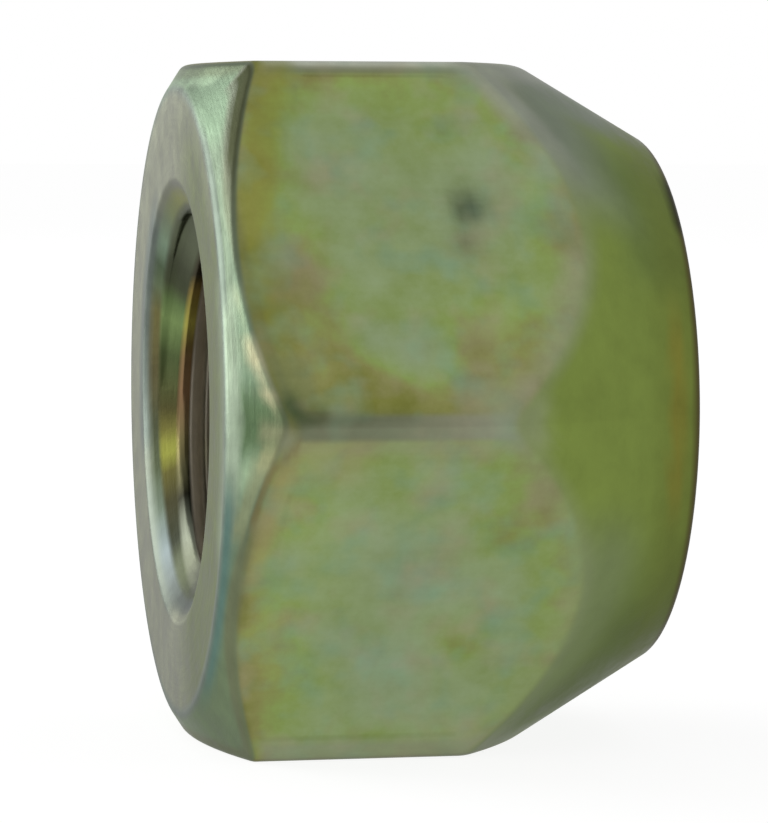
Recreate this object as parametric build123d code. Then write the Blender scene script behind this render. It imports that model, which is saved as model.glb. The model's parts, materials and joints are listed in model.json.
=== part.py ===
from build123d import *
from math import cos, radians, tan
import os

# Open-ended wheel lug nut, cold formed and turned from one bar of steel. It lies on a wrench flat.
# X is the thread axis: -X is the outer face that the wrench is pushed over, and +X is the nose that
# enters the wheel. The origin is on the thread axis, half way along the nut. Millimetres, degrees.

# Hexagon
across_flats = 21.0
nut_length = 14.7
corner_radius = 0.8          # rounding of the six long corners

# Outer end: a flat ring, then the crown chamfer that cuts the six corners back
face_inset = 0.7             # from a wrench flat in to the rim of the flat ring
crown_angle = 33.0           # slope of the crown chamfer, from the outer face
face_rim_radius = 0.6        # where the flat ring meets the crown chamfer
crown_edge_radius = 0.4      # where the crown chamfer meets the wrench flats

# Nose end: the conical seat that centres the wheel
seat_angle = 60.0            # included angle of the cone
nose_diameter = 16.4         # of the cone where it reaches the nose face
nose_rim_radius = 0.4
seat_edge_radius = 1.5       # rolled edge where the cone runs out into the wrench flats

# Thread M12 x 1.5: the bore is plain here, at the thread's minor diameter
thread_diameter = 12.0
thread_pitch = 1.5
minor_diameter_share = 1.0825     # of one pitch, the basic profile's loss of diameter
countersink_angle = 120.0         # included angle of both thread countersinks
mouth_lip = 0.9                   # how far the outer face's countersink reaches beyond the thread
nose_mouth_lip = 0.5              # and the one in the nose face
mouth_edge_radius = 0.4           # where the outer face turns into its countersink
nose_mouth_edge_radius = 0.15

turning_margin = 1.0              # how far the turned profile stands clear outside the hexagon

across_corners = across_flats / cos(radians(30))
face_diameter = across_flats - 2 * face_inset
bore_diameter = thread_diameter - minor_diameter_share * thread_pitch
mouth_diameter = thread_diameter + 2 * mouth_lip
nose_mouth_diameter = thread_diameter + 2 * nose_mouth_lip


def hexagon_bar(edge_radius):
    """Hexagonal bar along X with a flat underneath, its long corners rounded to edge_radius."""
    section = Plane.YZ * RegularPolygon(across_flats / 2, 6, major_radius=False)
    if edge_radius > 0:
        section = fillet(section.vertices(), edge_radius)
    return extrude(section, nut_length / 2, both=True)


def turned_body():
    """What the lathe leaves: flat ring, crown chamfer, room for the hexagon, seat cone and nose."""
    end = nut_length / 2
    outside = across_corners / 2 + turning_margin
    crown_start = -end + (outside - face_diameter / 2) * tan(radians(crown_angle))
    seat_start = end - (outside - nose_diameter / 2) / tan(radians(seat_angle / 2))
    face_rim = (-end, face_diameter / 2)
    nose_rim = (end, nose_diameter / 2)
    outline = Polyline(
        (-end, 0), face_rim, (crown_start, outside), (seat_start, outside), nose_rim, (end, 0), close=True
    )
    section = make_face(Plane.XZ * outline)
    section = fillet(section.vertices().sort_by_distance((nose_rim[0], 0, nose_rim[1]))[0], nose_rim_radius)
    section = fillet(section.vertices().sort_by_distance((face_rim[0], 0, face_rim[1]))[0], face_rim_radius)
    return revolve(section, Axis.X)


def run_out_edges(body, low_x, high_x):
    """The six arched edges where a turned cone runs out into the flats, by where they lie along X."""
    arches = body.edges().filter_by(GeomType.HYPERBOLA)
    return arches.filter_by(lambda edge: low_x < edge.center().X < high_x)


def rounded_blank():
    """Hexagon and turned body combined, with the run-out edges rolled and the long corners rounded."""
    end = nut_length / 2
    blank = hexagon_bar(0) & turned_body()
    blank = fillet(run_out_edges(blank, 0, end), seat_edge_radius)
    blank = fillet(run_out_edges(blank, -end, 0), crown_edge_radius)
    return blank & hexagon_bar(corner_radius)


def thread_bore():
    """Plain bore at the minor diameter, with a countersink opening towards each end."""
    end = nut_length / 2
    slope = tan(radians(countersink_angle / 2))
    mouth_depth = (mouth_diameter - bore_diameter) / 2 / slope
    nose_mouth_depth = (nose_mouth_diameter - bore_diameter) / 2 / slope
    outline = Polyline(
        (-end, 0),
        (-end, mouth_diameter / 2),
        (-end + mouth_depth, bore_diameter / 2),
        (end - nose_mouth_depth, bore_diameter / 2),
        (end, nose_mouth_diameter / 2),
        (end, 0),
        close=True,
    )
    return revolve(make_face(Plane.XZ * outline), Axis.X)


def mouth_edge(body, face_x):
    """The circle where one end face meets its countersink, the smallest one in that face."""
    in_face = body.edges().filter_by(GeomType.CIRCLE).filter_by(lambda edge: abs(edge.center().X - face_x) < 0.001)
    return in_face.sort_by(SortBy.RADIUS)[0]


def lug_nut():
    """The finished nut, one solid."""
    end = nut_length / 2
    body = rounded_blank() - thread_bore()
    body = fillet(mouth_edge(body, -end), mouth_edge_radius)
    return fillet(mouth_edge(body, end), nose_mouth_edge_radius)


nut = lug_nut()
nut.label = "lug_nut"

os.makedirs("parts", exist_ok=True)
export_step(nut, "parts/lug_nut.step")
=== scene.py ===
import json

import bpy
import numpy as np
from mathutils import Matrix, Vector


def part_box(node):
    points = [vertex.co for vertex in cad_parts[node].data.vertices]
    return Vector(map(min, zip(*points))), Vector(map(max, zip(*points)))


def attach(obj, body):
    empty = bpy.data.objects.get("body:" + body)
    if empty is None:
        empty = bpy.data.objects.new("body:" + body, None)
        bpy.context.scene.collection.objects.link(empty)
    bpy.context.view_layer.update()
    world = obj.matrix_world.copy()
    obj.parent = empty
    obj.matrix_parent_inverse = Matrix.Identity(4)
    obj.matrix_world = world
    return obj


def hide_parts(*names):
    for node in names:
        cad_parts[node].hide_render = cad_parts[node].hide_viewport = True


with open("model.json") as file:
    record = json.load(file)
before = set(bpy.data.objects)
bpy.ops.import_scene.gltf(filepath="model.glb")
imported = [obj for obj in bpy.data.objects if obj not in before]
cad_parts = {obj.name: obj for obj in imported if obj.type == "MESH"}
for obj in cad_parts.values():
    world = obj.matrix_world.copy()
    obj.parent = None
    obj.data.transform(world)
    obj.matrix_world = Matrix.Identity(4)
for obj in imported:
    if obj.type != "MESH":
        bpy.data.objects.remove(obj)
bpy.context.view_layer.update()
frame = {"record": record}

# The nut: one piece of steel, cold formed to a hexagon and turned, then zinc plated and yellow
# chromated. Its outer face, a flat ring with the crown chamfer round it, looks along -X, and the
# conical seat along +X. A right-handed M12 x 1.5 thread runs right through.
mm = 0.001
nut_low, nut_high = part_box("lug_nut")
half_length = nut_high.x
apothem = nut_high.z
corner_radius = 0.8 * mm
half_flat = (apothem - corner_radius) * np.tan(np.radians(30))
face_inset = 0.7 * mm             # from a wrench flat in to the rim of the flat ring
face_radius = apothem - face_inset
crown_slope = np.tan(np.radians(33))
nose_radius = 8.2 * mm
seat_slope = np.tan(np.radians(30))

thread_mount = next(mount for mount in frame["record"]["mounts"] if mount["name"] == "thread")
thread_pitch = 1.5 * mm
thread_minor = thread_mount["dims"]["r_mm"] * mm
profile_height = 0.54127 * thread_pitch     # of the basic 60 degree profile, crest flat to root flat
thread_major = thread_minor + profile_height
first_groove_depth = 0.45 * mm    # of its middle, from the outer face, at the nut's far side
rows_per_pitch = 16               # four on each crest, two in each root and five on each flank

countersink_slope = np.tan(np.radians(60))
mouth_lip = 0.9 * mm              # how far the outer face's countersink reaches beyond the thread
nose_mouth_lip = 0.5 * mm
cone_clearance = 0.04 * mm        # the countersinks are plain cones from here outwards
mouth_radius = thread_major + mouth_lip
nose_mouth_radius = thread_major + nose_mouth_lip
plain_radius = thread_major + cone_clearance


def crowded(steps, share):
    """Numbers from -1 to 1 that lie closer together near both ends.

    They are (1 + share) * u - share * u^3, for evenly spaced u.
    """
    u = np.linspace(-1, 1, steps + 1)
    return (1 + share) * u - share * u**3


def hexagon_outline(flat_places, corner_steps):
    """Angle round the axis, radius and distance from the nearest corner, for each column of the surface.

    One sixth is a flat at the apothem's distance, with its columns at flat_places from its middle, and
    then an arc of corner_radius about the point (apothem - corner_radius, half_flat) that turns 60
    degrees. The six sixths are that one turned about the axis, from the flat underneath. The distance is
    measured along the outline from the middle of the arc, and is below zero towards smaller angles.
    """
    flat = np.stack([np.full_like(flat_places, apothem), flat_places], axis=1)
    turn = np.linspace(0, np.radians(60), corner_steps + 1)[1:-1]
    arc_centre = [apothem - corner_radius, half_flat]
    arc = np.stack([np.cos(turn), np.sin(turn)], axis=1) * corner_radius + arc_centre
    sixth = np.concatenate([flat, arc])
    half_arc = corner_radius * np.radians(30)
    to_arc_middle = np.where(flat_places < 0, half_flat + half_arc, -half_flat - half_arc)
    distance = np.concatenate([flat_places + to_arc_middle, turn * corner_radius - half_arc])
    flat_angle = np.radians(-90) + np.radians(60) * np.arange(6)
    angle = (flat_angle[:, None] + np.arctan2(sixth[:, 1], sixth[:, 0])[None, :]).ravel()
    return angle, np.tile(np.hypot(sixth[:, 0], sixth[:, 1]), 6), np.tile(distance, 6)


def rounded_section(corners, radii, line_shares, arc_steps):
    """Rows of (x, r) points along straight lines with rounded corners, for every column.

    At a corner the path turns by the angle q between its unit directions a and b. The arc of radius R
    starts R * tan(q / 2) before the corner, and runs at centre + R * (a * sin s - n * cos s) with s from
    0 to q, where n is the part of b square to a. The rows of a straight stretch lie at line_shares of its
    length. The second result holds the number of the row in the middle of each arc.
    """
    rows = [corners[0]]
    middles = []
    for i, radius in enumerate(radii, start=1):
        before = corners[i] - corners[i - 1]
        after = corners[i + 1] - corners[i]
        a = before / np.linalg.norm(before, axis=1, keepdims=True)
        b = after / np.linalg.norm(after, axis=1, keepdims=True)
        cos_turn = np.sum(a * b, axis=1, keepdims=True)
        turn = np.arccos(cos_turn)
        n = (b - a * cos_turn) / np.sin(turn)
        line_start = rows[-1]
        arc_start = corners[i] - a * radius * np.tan(turn / 2)
        rows += [line_start + (arc_start - line_start) * share for share in line_shares[i - 1]]
        middles.append(len(rows) + arc_steps[i - 1] // 2)
        centre = arc_start + n * radius
        for share in np.linspace(0, 1, arc_steps[i - 1] + 1):
            rows.append(centre + radius * (a * np.sin(turn * share) - n * np.cos(turn * share)))
    line_start = rows[-1]
    rows += [line_start + (corners[-1] - line_start) * share for share in line_shares[-1]]
    return np.array(rows), np.array(middles)


def threaded_wall(start_x, end_x, column_angle):
    """(x, r) points of the threaded wall, their place on the thread, and which lie at its start and end.

    The rows follow the helix: x = start + pitch * (row / rows_per_pitch - 1 + turn), where turn goes from
    0 to 1 round the axis, so the row that leaves at turn 1 meets the one rows_per_pitch above it at turn
    0. The radius is the major one up to 1/16 of a pitch from the middle of a root, the minor one from 3/8
    of a pitch on, and a straight line between them, or a countersink cone's where that is wider. The
    place is each point's distance behind the middle of its root, in pitches, from -0.5 to 0.5.
    """
    turn = (column_angle - column_angle[0]) / (2 * np.pi)
    row_count = rows_per_pitch * (int(np.ceil((end_x - start_x) / thread_pitch)) + 1) + 1
    x = start_x + thread_pitch * (np.arange(row_count)[:, None] / rows_per_pitch - 1 + turn)
    far_side_turn = -column_angle[0] / (2 * np.pi) % 1
    first_row = (start_x + half_length - first_groove_depth) / thread_pitch + far_side_turn
    row_phase = (np.round(first_row * rows_per_pitch) + np.arange(row_count)[:, None]) / rows_per_pitch
    behind_root = np.broadcast_to((row_phase + 0.5) % 1 - 0.5, x.shape)
    radius = np.interp(np.abs(behind_root), [1 / 16, 3 / 8], [thread_major, thread_minor])
    radius = np.maximum(radius, plain_radius - (x - start_x) * countersink_slope)
    radius = np.maximum(radius, plain_radius - (end_x - x) * countersink_slope)
    # points this close to an end, or past it, are joined to that end
    joined = 0.3 * thread_pitch / rows_per_pitch
    return np.stack([x, radius], axis=2), behind_root, x < start_x + joined, x > end_x - joined


def grid_triangles(number, seam_shift):
    """Two triangles for each cell of a grid of point numbers that closes round the axis.

    The last column's neighbour is the first one, seam_shift rows further up. A triangle that has the same
    point twice is left out.
    """
    last = number.shape[0] - 1
    closing = number[np.minimum(np.arange(last + 1) + seam_shift, last), 0]
    closed = np.concatenate([number, closing[:, None]], axis=1)
    a, b, c, d = closed[:-1, :-1], closed[:-1, 1:], closed[1:, 1:], closed[1:, :-1]
    found = np.concatenate([np.stack([a, b, c], axis=2), np.stack([a, c, d], axis=2)]).reshape(-1, 3)
    repeated = (found == np.roll(found, 1, axis=1)).any(axis=1)
    return found[~repeated]


# Columns run round the nut, and rows from its mouth over the outside to the nose. The flats have extra
# columns where one of them has its dents, and extra rows beside these, 1 to 3 mm nearer to the mouth.
dent_columns = np.arange(-1.95, 0.75, 0.2) * mm
flat_places = np.unique(np.concatenate([half_flat * crowded(26, 0.4), dent_columns]))
outline_angle, outline_radius, from_corner = hexagon_outline(flat_places, corner_steps=10)
columns = len(outline_angle)
mouth_cone_x = -half_length + (mouth_radius - plain_radius) / countersink_slope
nose_cone_x = half_length - (nose_mouth_radius - plain_radius) / countersink_slope
section_corners = [
    (mouth_cone_x, plain_radius),
    (-half_length, mouth_radius),
    (-half_length, face_radius),
    (-half_length + (outline_radius - face_radius) * crown_slope, outline_radius),
    (half_length - (outline_radius - nose_radius) / seat_slope, outline_radius),
    (half_length, nose_radius),
    (half_length, nose_mouth_radius),
    (nose_cone_x, plain_radius),
]
section_corners = [
    np.stack(np.broadcast_arrays(x, radius, outline_radius)[:2], axis=1) for x, radius in section_corners
]
# rounded edges: mouth, ring, crown, seat, nose and the nose's mouth
edge_radii = np.array([0.4, 0.6, 0.4, 1.5, 0.4, 0.15]) * mm
edge_steps = [6, 6, 8, 10, 8, 4]
# straight stretches before them: countersink, flat ring, crown, wrench flat, seat and nose face
line_steps = [6, 8, 8, 28, 16, 6]
line_shares = [0.5 + 0.5 * crowded(steps, 0.3)[1:-1] for steps in line_steps]
flat_line = 3
extra_rows = np.arange(0.42, 0.60, 0.015)
line_shares[flat_line] = np.unique(np.concatenate([line_shares[flat_line], extra_rows]))
# and the nose's countersink, in four even steps
line_shares.append(np.array([0.25, 0.5, 0.75, 1]))
outer, edge_rows = rounded_section(section_corners, edge_radii, line_shares, edge_steps)
wall, behind_root, at_start, at_end = threaded_wall(mouth_cone_x, nose_cone_x, outline_angle)

outer_number = np.arange(outer.shape[0] * columns).reshape(-1, columns)
wall_number = outer_number.size + np.arange(wall.shape[0] * columns).reshape(-1, columns)
wall_number = np.where(at_start, outer_number[0], wall_number)
wall_number = np.where(at_end, outer_number[-1], wall_number)
outer_triangles = grid_triangles(outer_number, 0)
wall_triangles = grid_triangles(wall_number, rows_per_pitch)[:, ::-1]
triangles = np.concatenate([outer_triangles, wall_triangles])
section = np.concatenate([outer.reshape(-1, 2), wall.reshape(-1, 2)])
angle = np.tile(outline_angle, outer.shape[0] + wall.shape[0])

# Many of the tints below are painted highlights, painted reflections and painted shade; each function
# says which.
# Where a point lies decides its tint. Distances are in mm. Those along the section are taken from the
# middle of each rounded edge and are below zero on the mouth's side of it. height runs from -1 under the
# axis to 1 above it, and front from -1 behind it to 1 in front. The flats count from 0, underneath. The
# side corners are the two at the axis's height, in front and behind.
step_length = np.linalg.norm(np.diff(outer, axis=0), axis=2)
way = np.concatenate([np.zeros((1, columns)), np.cumsum(step_length, axis=0)])
mouth, ring, crown, seat, nose = [(way - way[row]) / mm for row in edge_rows[:5]]
corner = np.broadcast_to(from_corner / mm, mouth.shape)
height = np.broadcast_to(np.sin(outline_angle), mouth.shape)
front = np.broadcast_to(-np.cos(outline_angle), mouth.shape)
below_corner = corner * np.sign(front)
top_flat, upper_front, lower_front = 3, 4, 5
flat_number = np.broadcast_to(np.round(np.degrees(outline_angle) / 60 + 1.5) % 6, mouth.shape)
flat_middle = np.radians(60 * flat_number - 90)
across_flat = outline_radius * np.sin(outline_angle - flat_middle) / mm


def rise(value, start, end):
    """0 below start, 1 beyond end, and 3 s^2 - 2 s^3 between them, for the share s of the way."""
    share = np.clip((value - start) / (end - start), 0, 1)
    return share * share * (3 - 2 * share)


def between(value, start, end, soft):
    """1 from start to end, falling smoothly to 0 over the distance soft outside them."""
    return rise(value, start - soft, start) * (1 - rise(value, end, end + soft))


def bell(value, middle, width):
    """1 at middle, falling off as exp(-(distance / width)^2)."""
    return np.exp(-((value - middle) / width) ** 2)


def srgb(red, green, blue):
    """Linear colour from the 0 to 255 levels of a paint chart."""
    level = np.array([red, green, blue]) / 255
    return np.where(level <= 0.04045, level / 12.92, ((level + 0.055) / 1.055) ** 2.4)


def bands(value, stops):
    """Colour that runs evenly through (value, paint chart levels) stops, whose values grow."""
    places = [place for place, _ in stops]
    levels = np.array([srgb(*colour) for _, colour in stops])
    return np.stack([np.interp(value, places, levels[:, i]) for i in range(3)], axis=-1)


tint = np.zeros(mouth.shape + (3,))
cover = np.zeros(mouth.shape)


def lay(colours, weight):
    """Lays one colour, or one for each point, over the tints.

    The colour is mixed in by its weight, so what lies below keeps 1 - weight of its share.
    """
    tint[:] = tint * (1 - weight[..., None]) + colours * weight[..., None]
    cover[:] = cover * (1 - weight) + weight


mid_height = 1 - rise(np.abs(height), 0.2, 0.6)


def tint_corners():
    """The long corners: pale to dull downwards on the upper ones, the pale top a painted highlight, and
    dull on the lower ones.

    The side corners have a dark line over a dull band that gets paler towards the seat, and a light line
    under it.
    """
    on_flats = rise(crown, 0.1, 0.5) * rise(-seat, -0.2, 0.3)
    # painted highlight: the upper corners are pale along the top and fade to dull downwards
    upper_corner_highlight = bands(below_corner, [
        (-0.2, (182, 187, 174)),
        (0.0, (164, 168, 152)),
        (0.12, (138, 141, 124)),
        (0.22, (118, 122, 100)),
        (0.32, (112, 118, 88)),
        (0.45, (118, 126, 84)),
    ])
    lay(upper_corner_highlight, 0.95 * on_flats * between(below_corner, -0.4, 0.35, 0.15) * rise(height, 0.5, 0.7))
    lower_corner = between(below_corner, -0.6, 0.4, 0.3) * rise(-height, 0.0, 0.5)
    lay(srgb(128, 134, 112), 0.7 * on_flats * lower_corner)
    side_band = bands(crown, [
        (1.0, (106, 112, 92)),
        (3.0, (109, 114, 95)),
        (4.5, (122, 124, 104)),
        (6.5, (132, 135, 118)),
    ])
    on_side = mid_height * on_flats
    seat_end = rise(crown, 4.8, 6.0)
    lay(side_band, 0.9 * on_side * between(below_corner, -0.2, 0.35, 0.25))
    lay(srgb(136, 141, 112), 0.5 * on_side * between(below_corner, 0.6, 0.85, 0.25))
    lay(srgb(132, 133, 108), 0.6 * on_side * between(below_corner, -1.2, -0.3, 0.3) * seat_end)
    dark_line = 0.25 * (1 - rise(crown, 3.0, 4.8)) + 0.55 * (1 - rise(crown, 0.9, 2.8))
    lay(srgb(80, 86, 60), dark_line * on_side * between(below_corner, -0.38, -0.2, 0.3))


def tint_seat():
    """The turned seat: olive, with a painted grey reflection along its upper side and painted shade
    below, and a pale rolled edge, paler along the top as a painted reflection.
    """
    on_seat = rise(seat, -0.1, 0.3)
    lay(srgb(112, 128, 62), on_seat)
    # painted reflection on the upper side: a darker band, then grey towards the top
    lay(srgb(90, 106, 58), 0.75 * on_seat * between(height, 0.5, 0.75, 0.15) * rise(seat, 1.0, 3.0))
    grey_end = 2.8 + 2.8 * rise(height, 0.72, 0.95)
    upper_grey_reflection = rise(height, 0.5, 0.75) * (1 - rise(seat - grey_end, -1.8, 1.0))
    lay(srgb(114, 123, 110), 0.85 * on_seat * upper_grey_reflection)
    lay(srgb(112, 124, 98), 0.5 * on_seat * rise(-height, 0.2, 0.45) * (1 - rise(seat, 1.2, 3.2)))
    # painted shade: darker below
    lay(srgb(84, 98, 54), 0.8 * on_seat * rise(-height, 0.3, 0.8) * rise(seat, 0.6, 3.0))
    lay(srgb(96, 106, 48), 0.6 * rise(nose, -2.5, -0.8))
    by_corner = 1 - rise(np.abs(corner), 0.2, 1.3)
    edge_end = 0.1 + 0.7 * by_corner + 0.5 * rise(height, 0.4, 0.8)
    edge_weight = 0.3 + 0.25 * by_corner + 0.3 * between(height, 0.2, 0.42, 0.15)
    rolled_edge = rise(seat, -1.1, -0.1) * (1 - rise(seat - edge_end, -0.1, 0.8))
    lay(srgb(133, 140, 113), edge_weight * rolled_edge)
    # painted reflection: the rolled edge paler along the top
    upper_edge_reflection = rise(height, 0.6, 0.85) * rise(seat, -0.9, -0.1) * (1 - rise(seat, 0.8, 1.8))
    lay(srgb(142, 146, 134), 0.7 * upper_edge_reflection)


def tint_nose():
    """The nose: a brassy line in front, a rounded rim painted dark as a reflection, darkest above, and
    the plain end face.
    """
    in_front = (1 - rise(np.abs(height), 0.2, 0.45)) * rise(front, 0, 0.5)
    lay(srgb(124, 112, 44), 0.5 * between(nose, -1.1, -0.8, 0.3) * in_front)
    # painted dark reflection on the rounded rim, darkest above
    lay(srgb(74, 66, 40), 0.9 * rise(nose, -0.4, -0.1))
    lay(srgb(40, 42, 28), 0.8 * rise(nose, -0.6, -0.2) * between(height, 0.68, 0.8, 0.07))
    lay(srgb(120, 126, 96), rise(nose, 0.3, 0.6))


def tint_crown():
    """The crown chamfer: grey green with a dark middle and a painted highlight spot at the side corners.

    It has painted highlights, pale along the ring and mint over the top flat, painted shade higher
    up, and is teal further down.
    """
    on_crown = rise(-crown, -0.1, 0.1)
    lay(srgb(98, 116, 95), on_crown)
    lay(srgb(106, 122, 92), on_crown * rise(-height, 0.2, 0.8))
    lay(srgb(77, 96, 68), on_crown * (1 - rise(np.abs(height), 0.03, 0.16)) * rise(ring, 0.2, 0.65))
    # painted highlight: a light spot at the side corners
    lay(srgb(138, 158, 128), 0.9 * bell(height, -0.15, 0.065) * bell(crown, -0.95, 0.3))
    # painted highlights: pale along the ring, palest at the axis's height
    ring_highlight_mask = on_crown * (1 - rise(ring, 0.4, 0.8))
    lay(srgb(112, 124, 106), 0.85 * ring_highlight_mask * between(height, -0.25, 0.7, 0.15))
    lay(srgb(134, 148, 128), 0.85 * ring_highlight_mask * between(height, -0.1, 0.1, 0.15))
    # painted shade: darker higher up
    lay(srgb(84, 96, 80), 0.85 * on_crown * between(height, 0.42, 0.74, 0.08))
    # painted highlight: mint over the top flat
    top_flat_highlight_mask = (flat_number == top_flat) * rise(np.abs(corner), 1.3, 1.8)
    lay(srgb(130, 150, 124), 0.8 * top_flat_highlight_mask * between(crown, -0.8, -0.3, 0.2))
    lower_teal = on_crown * (1 - rise(ring, 0.2, 0.6)) * between(height, -0.75, -0.3, 0.2)
    lay(srgb(84, 114, 108), 0.8 * lower_teal)


def tint_upper_line():
    """The dark line where the chamfer meets the upper flats, a painted dark reflection, and a yellow one
    behind it.

    The result is the weight of the dark one.
    """
    line_start = -0.6 - 0.7 * rise(height, 0.6, 0.9)
    weight = rise(height, 0.47, 0.72) * rise(crown - line_start, 0.0, 0.5) * (1 - rise(crown, -0.1, 0.12))
    weight = weight * np.where(flat_number == top_flat, 1 - rise(np.abs(corner), 0.1, 0.5), 1)
    # painted dark reflection along the edge of the upper flats
    lay(srgb(88, 95, 68), 0.95 * weight)
    yellow_line = between(crown, 0.3, 0.9, 0.6) * rise(crown, 0.0, 0.3) * rise(height, 0.15, 0.4)
    lay(srgb(124, 127, 52), 0.55 * yellow_line)
    return weight


def tint_flat_edges():
    """The arched edge of the flats against the chamfer, and the dark spot of painted shade where two
    arches meet.

    It is cream in broken spots above the side corners, painted highlights each a bell curve of the
    height, dull further up and down, and brown just under the corners.
    """
    line_shift = 0.12 - 0.4 * rise(height, 0.4, 0.7) - 0.25 * rise(-height, 0.3, 0.7)
    from_line = crown - line_shift - 0.07 * between(height, -0.2, 0.35, 0.1)
    # painted highlights: cream glints in broken spots along the arched edge
    cream = 0.9 * bell(height, 0.18, 0.05) + 0.75 * bell(height, 0.075, 0.025)
    cream = cream + 0.35 * bell(height, 0.33, 0.03) + 0.3 * between(height, 0.04, 0.2, 0.04)
    cream_width = 0.13 + 0.17 * cream
    lay(srgb(156, 151, 120), np.minimum(0.75 * cream, 0.8) * bell(from_line, -0.5, cream_width))
    lay(srgb(190, 182, 146), 0.35 * np.minimum(cream, 1) * bell(crown, -0.05, 0.08))
    lay(srgb(166, 162, 120), 0.5 * between(from_line, -0.8, -0.35, 0.25) * bell(height, -0.09, 0.045))
    lay(srgb(130, 126, 98), 0.5 * between(crown, -0.9, 0.0, 0.3) * bell(height, -0.015, 0.03))
    dull_weight = 0.3 + 0.2 * rise(height, 0.6, 0.75)
    lay(srgb(86, 88, 64), dull_weight * between(from_line, -0.15, 0.12, 0.25))
    lay(srgb(104, 109, 82), 0.7 * rise(-height, 0.2, 0.4) * between(from_line, -0.25, 0.0, 0.25))
    lay(srgb(128, 132, 98), 0.6 * between(crown, -0.55, -0.25, 0.2) * between(height, -0.3, -0.16, 0.06))
    lay(srgb(144, 139, 92), 0.6 * between(crown, 0.3, 0.6, 0.25) * between(height, -0.42, -0.13, 0.06))
    from_brown = crown - 0.4 * rise(height, -0.12, -0.05)
    brown_line = between(from_brown, -0.05, 0.04, 0.13) * between(height, -0.26, -0.05, 0.04)
    lay(srgb(108, 100, 66), 0.75 * brown_line)
    under_front = between(below_corner, 0.7, 1.8, 0.5) * (height < 0) * (front > 0.5)
    lay(srgb(144, 138, 96), 0.35 * under_front * between(crown, 0.5, 2.2, 1.0))
    over_sides = between(below_corner, -2.0, -0.8, 0.5) * mid_height * (height > 0)
    lay(srgb(106, 116, 88), 0.4 * over_sides * between(crown, 0.3, 1.0, 0.4))
    lay(srgb(130, 134, 108), 0.8 * bell(height, -0.035, 0.03) * bell(crown, 0.1, 0.25))
    # painted shade: the dark spot where two arches meet, with a tail along the edge
    cusp_shade_spot = bell(below_corner, -0.58, 0.5) * bell(crown, 0.3, 0.4)
    cusp_shade_tail = bell(below_corner, -0.3, 0.3) * (1 - rise(crown, 0.4, 2.0)) * rise(crown, -0.1, 0.3)
    lay(srgb(62, 76, 50), 0.95 * np.maximum(cusp_shade_spot, 0.35 * cusp_shade_tail) * mid_height)


def tint_ring():
    """The rounded rim and the flat ring, which is olive in front and grey by its lip at the far side. The
    rim is darkened higher up, and the lip underneath, as painted shade.
    """
    on_ring = rise(-ring, 0.1, 0.35)
    over_rim = rise(-ring, 0.0, 0.2)
    lay(srgb(96, 106, 96), rise(-ring, -0.2, 0.1))
    # painted shade: the rim darker higher up
    lay(srgb(78, 87, 78), 0.9 * between(ring, -0.2, 0.2, 0.1) * between(height, 0.38, 0.8, 0.1))
    lay(srgb(113, 116, 100), on_ring)
    lay(srgb(87, 95, 64), on_ring * rise(front, -0.1, 0.6))
    lay(srgb(126, 140, 120), 0.5 * over_rim * rise(ring, -1.3, -0.2) * rise(front, 0.85, 0.95))
    lay(srgb(84, 88, 62), 0.5 * rise(-ring, 1.4, 2.2) * rise(front, 0.85, 0.95))
    lay(srgb(130, 134, 118), 0.35 * over_rim * rise(ring, -1.5, -0.3) * rise(height, 0.5, 0.7))
    far_lip = (1 - rise(mouth, 0.4, 0.9)) * rise(-front, 0.2, 0.6) * between(height, -0.2, 0.75, 0.2)
    lay(srgb(86, 96, 92), 0.8 * far_lip * on_ring)
    # painted shade: the lip darker underneath
    lower_lip_shade = between(mouth, -0.5, 0.0, 0.15) * rise(-height, 0.1, 0.5) * rise(-front, 0.0, 0.3)
    lay(srgb(74, 82, 76), 0.8 * lower_lip_shade)


# by height, painted light and shade: the thread flank that looks out of the mouth, and the end of the
# countersink before it
flank_light_and_shade_stops = [
    (-0.95, (62, 68, 48)),
    (-0.8, (16, 20, 6)),
    (-0.6, (26, 25, 9)),
    (-0.44, (46, 44, 16)),
    (-0.33, (84, 86, 34)),
    (-0.22, (64, 62, 27)),
    (-0.1, (47, 45, 22)),
    (0.2, (58, 68, 40)),
    (0.4, (104, 124, 76)),
    (0.5, (86, 104, 64)),
    (0.58, (66, 72, 52)),
    (0.7, (66, 70, 54)),
    (0.85, (88, 94, 74)),
]


def tint_mouth():
    """The countersink in painted light and shade, from its lower side to its upper one, and its dark end.
    """
    countersink = bands(height, [
        (-1.0, (70, 76, 70)),
        (-0.8, (76, 84, 84)),
        (-0.6, (54, 62, 52)),
        (-0.4, (42, 48, 33)),
        (-0.15, (44, 47, 32)),
        (0.1, (72, 68, 44)),
        (0.4, (98, 94, 58)),
        (0.54, (88, 100, 74)),
        (0.64, (74, 88, 66)),
        (0.75, (116, 136, 114)),
        (0.86, (108, 120, 96)),
        (1.0, (126, 130, 76)),
    ])
    # painted light and shade on the countersink, changing with the height
    lay(countersink, rise(-mouth, 0.12, 0.5))
    lay(bands(height, flank_light_and_shade_stops), rise(-mouth, 0.75, 0.95))


tint_corners()
tint_seat()
tint_nose()
tint_crown()
upper_dark_reflection = tint_upper_line()
tint_flat_edges()
tint_ring()
tint_mouth()

# Where no tint covers a flat, the film's own colour shows: low values are yellow and lie by the edges,
# high ones are grey green and lie in the middle.
from_edges = np.minimum(np.minimum(crown, -seat), np.abs(corner))
film = 0.15 + 0.45 * rise(from_edges, 0.3, 2.2) - 0.12 * (1 - rise(crown, 0.5, 1.6))
lightness = np.ones(mouth.shape)


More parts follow.
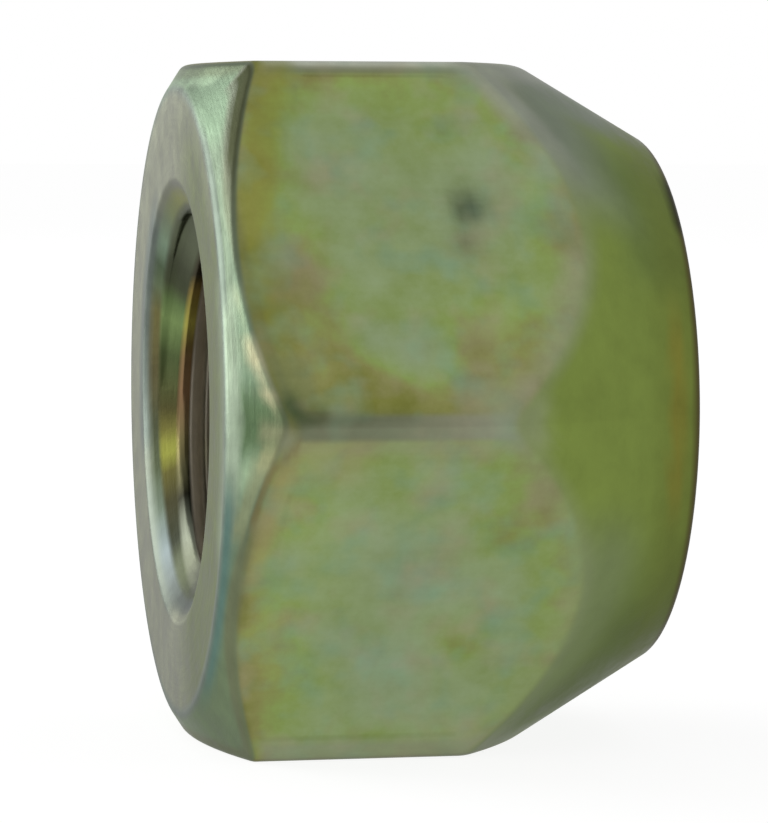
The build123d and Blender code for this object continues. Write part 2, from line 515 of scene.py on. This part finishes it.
def patch(flat, x, across, size, value, weight, light=1.0):
    """Draws a flat's film and lightness towards new values by weight * exp(-(distance / size)^2).

    The patch lies at x along the axis and at across from the middle of the flat's width.
    """
    distance = np.hypot(outer[..., 0] / mm - x, across_flat - across)
    share = weight * bell(distance, 0, size) * (flat_number == flat)
    film[:] = film + (value - film) * share
    lightness[:] = lightness + (light - lightness) * share


patch(upper_front, x=0.8, across=3.4, size=2.4, value=0.2, weight=0.85, light=1.05)
patch(upper_front, x=-3.8, across=4.2, size=2.2, value=0.0, weight=0.9)
patch(upper_front, x=-0.4, across=-4.5, size=1.3, value=0.33, weight=0.9)
patch(upper_front, x=-5.2, across=-4.2, size=1.6, value=0.3, weight=0.9, light=0.94)
patch(upper_front, x=-4.4, across=-3.2, size=0.8, value=0.8, weight=0.6)
patch(upper_front, x=2.6, across=-2.5, size=0.7, value=0.85, weight=0.7)
patch(upper_front, x=-3.2, across=3.2, size=0.8, value=1.0, weight=0.6)
patch(upper_front, x=2.2, across=1.3, size=1.1, value=0.5, weight=0.9, light=1.05)
patch(upper_front, x=-5.5, across=-0.1, size=1.2, value=0.1, weight=0.7, light=0.98)
patch(upper_front, x=-5.5, across=1.1, size=0.9, value=0.0, weight=0.8)
patch(upper_front, x=-1.9, across=3.6, size=0.8, value=1.0, weight=0.5, light=0.94)
patch(upper_front, x=-0.2, across=3.9, size=0.6, value=0.3, weight=0.6, light=1.04)
# painted light: the lower flat's patches lighten it, making up for the floor's shadow that its metal
# reflects
patch(lower_front, x=-2.0, across=0.0, size=8.0, value=0.5, weight=0.5, light=1.2)
patch(lower_front, x=-5.0, across=-2.5, size=2.4, value=0.3, weight=0.7, light=1.25)
patch(lower_front, x=-5.4, across=2.4, size=2.2, value=0.12, weight=0.8, light=1.24)
patch(lower_front, x=-1.2, across=-4.3, size=2.0, value=0.36, weight=0.8, light=1.14)
patch(lower_front, x=1.0, across=-2.6, size=1.6, value=0.34, weight=0.7, light=1.12)
patch(lower_front, x=-2.1, across=-1.1, size=1.8, value=0.85, weight=0.6, light=1.1)
patch(lower_front, x=-5.6, across=-1.4, size=0.7, value=1.0, weight=0.5, light=1.25)
patch(lower_front, x=-4.0, across=1.5, size=1.0, value=0.98, weight=0.5, light=1.08)
patch(lower_front, x=-0.2, across=1.6, size=1.2, value=0.1, weight=0.5, light=1.1)
patch(lower_front, x=-4.8, across=4.2, size=1.2, value=0.34, weight=0.9, light=1.1)
patch(lower_front, x=-2.4, across=2.9, size=1.5, value=0.95, weight=0.6, light=1.12)
patch(lower_front, x=1.3, across=3.0, size=1.4, value=0.62, weight=0.7, light=1.12)
patch(lower_front, x=-2.5, across=-4.2, size=1.2, value=0.62, weight=0.7, light=1.2)
patch(lower_front, x=-6.0, across=0.9, size=0.8, value=0.3, weight=0.6, light=1.35)
patch(lower_front, x=-3.6, across=4.3, size=1.4, value=0.6, weight=0.6, light=1.18)


def thread_tints():
    """Tint of each point of the threaded wall, and how far it lies in a dull groove, from 0 to 1.

    Crests, and flanks that look out of the mouth, take painted light and shade from the height. The
    grooves behind the crests are a pale grey of painted light, with painted shade in front and deep
    inside, and past the first turn all of the wall is so.
    """
    wall_height = np.broadcast_to(np.sin(outline_angle), wall.shape[:2])
    wall_front = np.broadcast_to(-np.cos(outline_angle), wall.shape[:2])
    wall_depth = (wall[..., 0] + half_length) / mm
    # painted light and shade on the crests, by height
    crest_light_and_shade = bands(wall_height, [
        (-0.95, (88, 92, 76)),
        (-0.82, (82, 86, 74)),
        (-0.62, (26, 26, 18)),
        (-0.46, (74, 72, 50)),
        (-0.3, (112, 104, 70)),
        (0.0, (142, 113, 84)),
        (0.23, (140, 116, 80)),
        (0.42, (166, 158, 78)),
        (0.64, (136, 118, 66)),
        (0.74, (66, 62, 50)),
    ])
    on_crest = rise(np.abs(behind_root), 0.36, 0.38)[..., None]
    cone_radius = plain_radius - (wall[..., 0] - mouth_cone_x) * countersink_slope
    on_cone = rise(wall[..., 1] - cone_radius, 0.03 * mm, -0.03 * mm)
    in_groove = rise(-behind_root, 0.0, 0.07) * rise(0.4 + behind_root, -0.02, 0.02)
    in_groove = np.maximum(in_groove * rise(wall_depth, 0.8, 1.3), rise(wall_depth, 1.5, 2.5))
    in_groove = in_groove * (1 - on_cone)
    # painted shade: the grooves darker in front and deep inside
    groove_painted_light = (1 - 0.6 * rise(wall_front, -0.2, 0.6)) * (1 - 0.4 * rise(wall_depth, 5.0, 8.0))
    groove_tint = srgb(208, 200, 182) * groove_painted_light[..., None]
    tints = bands(wall_height, flank_light_and_shade_stops) * (1 - on_crest) + crest_light_and_shade * on_crest
    return tints * (1 - in_groove[..., None]) + groove_tint * in_groove[..., None], in_groove


wall_tint, wall_dull = thread_tints()
wall_ones = np.ones(wall.shape[0] * columns)
turned = np.maximum(rise(-crown, -0.2, 0.1), rise(seat, -0.2, 0.3))
tint = np.concatenate([tint.reshape(-1, 3), wall_tint.reshape(-1, 3)])
cover = np.concatenate([cover.ravel(), wall_ones])
film = np.concatenate([film.ravel(), 0 * wall_ones])
lightness = np.concatenate([lightness.ravel(), wall_ones])
turned = np.concatenate([turned.ravel(), wall_ones])
dull = np.concatenate([upper_dark_reflection.ravel(), wall_dull.ravel()])

used, triangles = np.unique(triangles, return_inverse=True)
triangles = triangles.reshape(-1, 3)
section, angle, tint, cover = section[used], angle[used], tint[used], cover[used]
film, lightness, turned, dull = film[used], lightness[used], turned[used], dull[used]
points = np.stack([section[:, 0], section[:, 1] * np.cos(angle), section[:, 1] * np.sin(angle)], axis=1)


def dent(x, across, size, depth):
    """How a dent in the upper front flat moves each point: inwards, depth * exp(-(distance / size)^2)."""
    flat_angle = np.radians(60 * upper_front - 90)
    outward = np.array([0, np.cos(flat_angle), np.sin(flat_angle)])
    sideways = np.array([0, -np.sin(flat_angle), np.cos(flat_angle)])
    middle = np.array([x * mm, 0, 0]) + outward * apothem + sideways * across * mm
    distance = np.linalg.norm(points - middle, axis=1) / mm
    return -outward * (depth * mm * bell(distance, 0, size))[:, None]


# three shallow dents, one above the other, darkened in proportion to their depth
dents = dent(x=0.1, across=-1.3, size=0.5, depth=0.11)
dents = dents + dent(x=0.08, across=-0.8, size=0.45, depth=0.08)
dents = dents + dent(x=-0.1, across=0.1, size=0.42, depth=0.07)
points = points + dents
darkest_dent_depth = 0.2 * mm
dent_darkening = np.linalg.norm(dents, axis=1) / darkest_dent_depth
least_cover = 1e-6
tint = tint / np.maximum(cover, least_cover)[:, None]

nut_mesh = bpy.data.meshes.new("plated_nut")
nut_mesh.from_pydata(points.tolist(), [], triangles.tolist())
nut_mesh.shade_smooth()
tint_and_cover = np.concatenate([tint, cover[:, None]], axis=1)
finish_and_painted_light = np.stack([film, turned, dent_darkening, lightness], axis=1)
for name, values in [("tint", tint_and_cover), ("finish_and_painted_light", finish_and_painted_light)]:
    layer = nut_mesh.attributes.new(name, "FLOAT_COLOR", "POINT")
    layer.data.foreach_set("color", values.astype(np.float32).ravel())
dull_layer = nut_mesh.attributes.new("dull", "FLOAT", "POINT")
dull_layer.data.foreach_set("value", dull.astype(np.float32))
nut = bpy.data.objects.new("plated_nut", nut_mesh)
bpy.context.scene.collection.objects.link(nut)


def add_node(tree, kind, values=None, **settings):
    """Adds a shader node, sets its plain settings, and sets or links its inputs by name or number."""
    node = tree.nodes.new("ShaderNode" + kind)
    for name, setting in settings.items():
        setattr(node, name, setting)
    for socket, value in (values or {}).items():
        if isinstance(value, bpy.types.NodeSocket):
            tree.links.new(value, node.inputs[socket])
        else:
            node.inputs[socket].default_value = value
    return node


def colour_ramp(tree, factor, stops):
    """Colour ramp from a list of (place, paint chart levels) stops."""
    ramp = add_node(tree, "ValToRGB", {"Fac": factor})
    while len(ramp.color_ramp.elements) < len(stops):
        ramp.color_ramp.elements.new(0.5)
    for element, (place, colour) in zip(ramp.color_ramp.elements, stops):
        element.position = place
        element.color = (*srgb(*colour), 1)
    return ramp.outputs["Color"]


def noise(tree, place, size, detail=2.0, roughness=0.55):
    """Noise whose blotches are about size metres across."""
    values = {"Vector": place, "Scale": 1 / size, "Detail": detail, "Roughness": roughness}
    return add_node(tree, "TexNoise", values).outputs["Fac"]


def vector_math(tree, operation, place, other):
    """One vector operation on a place and another vector or number."""
    return add_node(tree, "VectorMath", {0: place, 1: other}, operation=operation).outputs[0]


def sum_of(tree, *terms):
    """Adds up value sockets, each given as (socket, factor, offset): socket * factor + offset."""
    total = None
    for socket, factor, offset in terms:
        values = {0: socket, 1: factor, 2: offset}
        term = add_node(tree, "Math", values, operation="MULTIPLY_ADD").outputs[0]
        total = term if total is None else add_node(tree, "Math", {0: total, 1: term}).outputs[0]
    return total


def mix_colour(tree, share, below, above):
    """Mixes the socket below with the one above, or with a linear colour."""
    above = above if isinstance(above, bpy.types.NodeSocket) else (*above, 1)
    return add_node(tree, "Mix", {0: share, 6: below, 7: above}, data_type="RGBA").outputs[2]


def surface_lines(tree, place, turned_share):
    """Drawn streaks along the axis on the flats, and fine turning lines round it on the rest."""
    drawn_place = vector_math(tree, "MULTIPLY", place, (0.06, 1, 1))
    drawn_lines = noise(tree, drawn_place, 0.3 * mm, detail=3.0)
    split = add_node(tree, "SeparateXYZ", {0: place})
    across = add_node(tree, "CombineXYZ", {1: split.outputs[1], 2: split.outputs[2]}).outputs[0]
    radius = add_node(tree, "VectorMath", {0: across}, operation="LENGTH").outputs["Value"]
    turned_place = add_node(tree, "CombineXYZ", {0: radius}).outputs[0]
    wander = vector_math(tree, "MULTIPLY", place, (0.08, 0.08, 0.08))
    turned_place = vector_math(tree, "ADD", turned_place, wander)
    turned_lines = noise(tree, turned_place, 0.16 * mm, detail=3.0)
    return add_node(tree, "Mix", {0: turned_share, 2: drawn_lines, 3: turned_lines}).outputs[0]


def stained(tree, place, colour, most):
    """Lays a mauve and a teal bloom over a colour, each where its own noise is high.

    Neither covers more than the share most.
    """
    teal_place = vector_math(tree, "ADD", place, (0.02, 0.03, 0.01))
    mauve_bloom = noise(tree, place, 1.7 * mm)
    teal_bloom = noise(tree, teal_place, 1.5 * mm)
    for bloom, stain in [(mauve_bloom, srgb(142, 134, 110)), (teal_bloom, srgb(112, 142, 118))]:
        share = add_node(tree, "MapRange", {0: bloom, 1: 0.5, 2: 0.75, 3: 0.0, 4: most}).outputs[0]
        colour = mix_colour(tree, share, colour, stain)
    return colour


def plated_steel():
    """Yellow zinc chromate on steel: a satin metal, its film olive at the edges and grey green inside.

    The attribute tint holds a tint, in many places painted light or shade, and how far it covers the
    film.
    finish_and_painted_light holds film, turned share, darkening in dents, and lightness, which is painted
    light on the lower flat. dull is 1 where the surface is made less metallic: along the upper flats'
    painted dark reflection by the chamfer, and in the thread's grooves.
    """
    material = bpy.data.materials.new("plated_steel")
    material.use_nodes = True
    tree = material.node_tree
    shader = tree.nodes["Principled BSDF"]
    place = add_node(tree, "TexCoord").outputs["Object"]
    tint_node = add_node(tree, "Attribute", attribute_name="tint")
    finish_and_light_node = add_node(tree, "Attribute", attribute_name="finish_and_painted_light")
    dull_share = add_node(tree, "Attribute", attribute_name="dull").outputs["Fac"]
    split = add_node(tree, "SeparateColor", {0: finish_and_light_node.outputs["Color"]})
    film_share, turned_share, dent_dark_share = split.outputs[0], split.outputs[1], split.outputs[2]

    blotch = noise(tree, place, 2.6 * mm)
    grain = noise(tree, place, 0.9 * mm, detail=5.0, roughness=0.62)
    lines = surface_lines(tree, place, turned_share)
    film_value = sum_of(tree, (film_share, 1.0, 0.0), (blotch, 0.6, -0.3), (grain, 0.35, -0.175))
    film_colour = colour_ramp(tree, film_value, [
        (0.0, (116, 119, 58)),
        (0.18, (128, 129, 78)),
        (0.36, (126, 144, 82)),
        (0.52, (129, 145, 100)),
        (0.70, (130, 145, 110)),
        (0.86, (123, 145, 115)),
        (1.0, (137, 139, 124)),
    ])
    colour = mix_colour(tree, tint_node.outputs["Alpha"], film_colour, tint_node.outputs["Color"])
    most_stain = sum_of(tree, (turned_share, -0.3, 0.55), (tint_node.outputs["Alpha"], -0.25, 0.0))
    colour = stained(tree, place, colour, most_stain)
    marks = [(grain, 0.5, 0.78), (blotch, 0.3, -0.15), (lines, 0.13, -0.065), (dent_dark_share, -1.0, 0.0)]
    shades = sum_of(tree, *marks)
    light = finish_and_light_node.outputs["Alpha"]
    brightness = add_node(tree, "Math", {0: shades, 1: light}, operation="MULTIPLY").outputs[0]
    shaded = add_node(tree, "HueSaturation", {"Color": colour, "Value": brightness}).outputs[0]
    tree.links.new(shaded, shader.inputs["Base Color"])

    tree.links.new(sum_of(tree, (dull_share, -0.85, 1.0)), shader.inputs["Metallic"])
    tree.links.new(sum_of(tree, (dull_share, -0.5, 0.5)), shader.inputs["Specular IOR Level"])
    shader.inputs["Specular Tint"].default_value = (0.6, 0.6, 0.6, 1)
    roughness = sum_of(tree, (grain, 0.3, 0.23), (lines, 0.1, -0.05))
    tree.links.new(roughness, shader.inputs["Roughness"])
    line_bump = add_node(tree, "Bump", {"Strength": 0.6, "Distance": 0.012 * mm, "Height": lines})
    grain_bump = add_node(tree, "Bump", {"Strength": 0.5, "Distance": 0.03 * mm, "Height": grain})
    tree.links.new(line_bump.outputs[0], grain_bump.inputs["Normal"])
    tree.links.new(grain_bump.outputs[0], shader.inputs["Normal"])
    return material


nut_mesh.materials.append(plated_steel())
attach(nut, "root")
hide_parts("lug_nut")

# The floor: a pale matt bench top that the nut lies on, one plain sheet. It glows just enough to show as
# white, and keeps the nut's soft shadow.
bench_half = 3.0
bench_grey = 0.23
bench_glow = 0.88
bench_corners = [
    (-bench_half, -bench_half, nut_low.z),
    (bench_half, -bench_half, nut_low.z),
    (bench_half, bench_half, nut_low.z),
    (-bench_half, bench_half, nut_low.z),
]
bench_mesh = bpy.data.meshes.new("bench")
bench_mesh.from_pydata(bench_corners, [], [(0, 1, 2, 3)])
bench = bpy.data.objects.new("bench", bench_mesh)
bpy.context.scene.collection.objects.link(bench)


def seen_directly(tree):
    """1 for camera, glossy and transmission rays, which see the white background, and 0 for others."""
    path = add_node(tree, "LightPath").outputs
    seen = path["Is Camera Ray"]
    for ray in ["Is Glossy Ray", "Is Transmission Ray"]:
        seen = add_node(tree, "Math", {0: seen, 1: path[ray]}, operation="MAXIMUM").outputs[0]
    return seen


bench_paint = bpy.data.materials.new("bench_paint")
bench_paint.use_nodes = True
bench_tree = bench_paint.node_tree
bench_tree.nodes.clear()
matt = add_node(bench_tree, "BsdfDiffuse", {"Color": (bench_grey, bench_grey, bench_grey, 1)}).outputs[0]
glow_values = {0: seen_directly(bench_tree), 1: bench_glow}
glow_share = add_node(bench_tree, "Math", glow_values, operation="MULTIPLY").outputs[0]
glow = add_node(bench_tree, "Emission", {"Strength": glow_share}).outputs[0]
matt_and_glow = add_node(bench_tree, "AddShader", {0: matt, 1: glow}).outputs[0]
add_node(bench_tree, "OutputMaterial", {"Surface": matt_and_glow})
bench_mesh.materials.append(bench_paint)

# The studio: a plain pale surround, white where it is seen directly or in the metal, and one large soft
# panel behind the nut to its left, which lights the edge of the crown.
surround_strength = 0.6
studio = bpy.data.worlds.new("studio")
bpy.context.scene.world = studio
studio.use_nodes = True
studio_tree = studio.node_tree
studio_tree.nodes.clear()
surround = add_node(studio_tree, "Background", {"Strength": surround_strength}).outputs[0]
white = add_node(studio_tree, "Background", {"Color": (1, 1, 1, 1), "Strength": 1.0}).outputs[0]
studio_values = {0: seen_directly(studio_tree), 1: surround, 2: white}
studio_light = add_node(studio_tree, "MixShader", studio_values).outputs[0]
add_node(studio_tree, "OutputWorld", {"Surface": studio_light})


def soft_panel(name, azimuth, elevation, distance, width, height, radiance):
    """Flat square-on lamp of an even radiance: one of power P shows P / (pi * width * height)."""
    lamp = bpy.data.lights.new(name, "AREA")
    lamp.shape = "RECTANGLE"
    lamp.size = width
    lamp.size_y = height
    lamp.energy = radiance * np.pi * width * height
    panel = bpy.data.objects.new(name, lamp)
    bpy.context.scene.collection.objects.link(panel)
    a, e = np.radians([azimuth, elevation])
    toward = Vector((np.sin(a) * np.cos(e), -np.cos(a) * np.cos(e), np.sin(e)))
    panel.location = toward * distance
    panel.rotation_euler = toward.to_track_quat("Z", "Y").to_euler()
    panel.visible_camera = False


soft_panel("key_panel", azimuth=-130, elevation=12, distance=0.5, width=0.36, height=0.23, radiance=7.0)

# The camera looks at the nut's near corner from close by, a little above the thread axis and turned
# towards the outer face.
yaw, pitch, roll = np.radians([-11.79, 3.61, 0.13])
camera_distance = 12.33 * apothem
back = np.array([np.sin(yaw) * np.cos(pitch), -np.cos(yaw) * np.cos(pitch), np.sin(pitch)])
level = np.array([np.cos(yaw), np.sin(yaw), 0])
lift = np.cross(back, level)
right = np.cos(roll) * level + np.sin(roll) * lift
up = np.cos(roll) * lift - np.sin(roll) * level
axes_and_place = np.stack([right, up, back, back * camera_distance], axis=1)
camera_data = bpy.data.cameras.new("camera")
camera_data.sensor_width = 36
camera_data.lens = 179.7
camera_data.shift_x = -0.0258
camera_data.shift_y = -0.0149
camera_data.clip_start = 0.01
camera = bpy.data.objects.new("camera", camera_data)
bpy.context.scene.collection.objects.link(camera)
camera.matrix_world = Matrix(np.vstack([axes_and_place, [0, 0, 0, 1]]).tolist())
bpy.context.scene.camera = camera
bpy.context.scene.view_settings.view_transform = "Standard"
